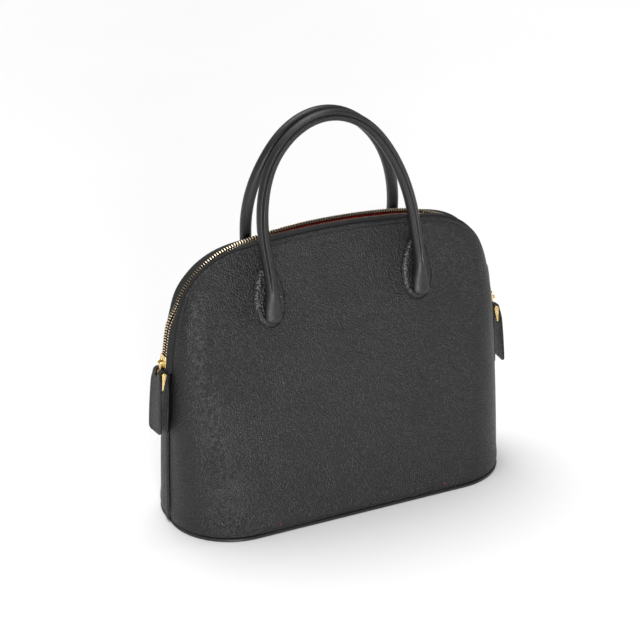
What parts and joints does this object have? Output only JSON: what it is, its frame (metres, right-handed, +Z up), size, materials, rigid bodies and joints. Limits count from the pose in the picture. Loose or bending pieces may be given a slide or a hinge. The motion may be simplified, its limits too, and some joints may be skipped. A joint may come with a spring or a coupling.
{
  "type": "handbag",
  "caption": "Domed leather handbag with a flat base, rolled top handles on drop-shaped patches, and an open two-way metal zip with folded leather pulls.",
  "frame": {"origin": "middle of the base, on the ground", "axes": "+Z up, -Y the front as pictured, +X to the right when the front is looked at"},
  "size_m": [0.347, 0.1316, 0.3643],
  "materials": {
    "black_leather": "fine pebbled grain, satin",
    "handle_leather": "fine pebbled grain, rolled and stitched",
    "red_lining": "woven red lining",
    "board": "bonded leather board",
    "zip_tape": "woven black tape",
    "brass": "polished",
    "core_rope": "twisted cotton rope"
  },
  "bodies": {
    "bag_body": {"base_panel": "black_leather", "base_board": "board", "base_lining": "red_lining", "front_panel": "black_leather", "back_panel": "black_leather", "front_stiffener": "board", "back_stiffener": "board", "front_lining": "red_lining", "back_lining": "red_lining", "left_end_strip": "black_leather", "right_end_strip": "black_leather", "zip_tape_front": "zip_tape", "zip_tape_back": "zip_tape", "zip_teeth_front": "brass", "zip_teeth_back": "brass", "zip_stop_left": "brass", "zip_stop_right": "brass", "handle_foot_front_left": "handle_leather", "handle_foot_front_right": "handle_leather", "handle_foot_back_left": "handle_leather", "handle_foot_back_right": "handle_leather", "handle_patch_front_left": "black_leather", "handle_patch_front_right": "black_leather", "handle_patch_back_left": "black_leather", "handle_patch_back_right": "black_leather"},
    "handle_front": {"front_handle": "handle_leather", "front_handle_core": "core_rope"},
    "handle_back": {"back_handle": "handle_leather", "back_handle_core": "core_rope"},
    "left_slider": {"slider_left": "brass"},
    "left_link": {"pull_link_left": "brass"},
    "left_pull": {"pull_bar_left": "brass", "pull_pin_left": "brass", "pull_tab_left": "black_leather"},
    "right_slider": {"slider_right": "brass"},
    "right_link": {"pull_link_right": "brass"},
    "right_pull": {"pull_bar_right": "brass", "pull_pin_right": "brass", "pull_tab_right": "black_leather"}
  },
  "joints": [
    {"name": "front_handle_drop", "type": "hinge", "parent": "bag_body", "child": "handle_front", "pos_m": [0, -0.02611, 0.22802], "axis": [1, 0, 0], "range_deg": [0, 70]},
    {"name": "back_handle_drop", "type": "hinge", "parent": "bag_body", "child": "handle_back", "pos_m": [0, 0.02611, 0.22802], "axis": [-1, 0, 0], "range_deg": [0, 70]},
    {"name": "left_slider_run", "type": "hinge", "parent": "bag_body", "child": "left_slider", "pos_m": [0.11425, 0, 0.1331], "axis": [0, 1, 0], "range_deg": [0, 7]},
    {"name": "left_link_swing", "type": "hinge", "parent": "left_slider", "child": "left_link", "pos_m": [-0.16623, 0, 0.15645], "axis": [0, 1, 0], "range_deg": [0, 90]},
    {"name": "left_pull_swing", "type": "hinge", "parent": "left_link", "child": "left_pull", "pos_m": [-0.16623, 0, 0.14605], "axis": [0, 1, 0], "range_deg": [0, 85]},
    {"name": "right_slider_run", "type": "hinge", "parent": "bag_body", "child": "right_slider", "pos_m": [-0.11425, 0, 0.1331], "axis": [0, -1, 0], "range_deg": [0, 7]},
    {"name": "right_link_swing", "type": "hinge", "parent": "right_slider", "child": "right_link", "pos_m": [0.16623, 0, 0.15645], "axis": [0, -1, 0], "range_deg": [0, 90]},
    {"name": "right_pull_swing", "type": "hinge", "parent": "right_link", "child": "right_pull", "pos_m": [0.16623, 0, 0.14605], "axis": [0, -1, 0], "range_deg": [0, 85]}
  ]
}
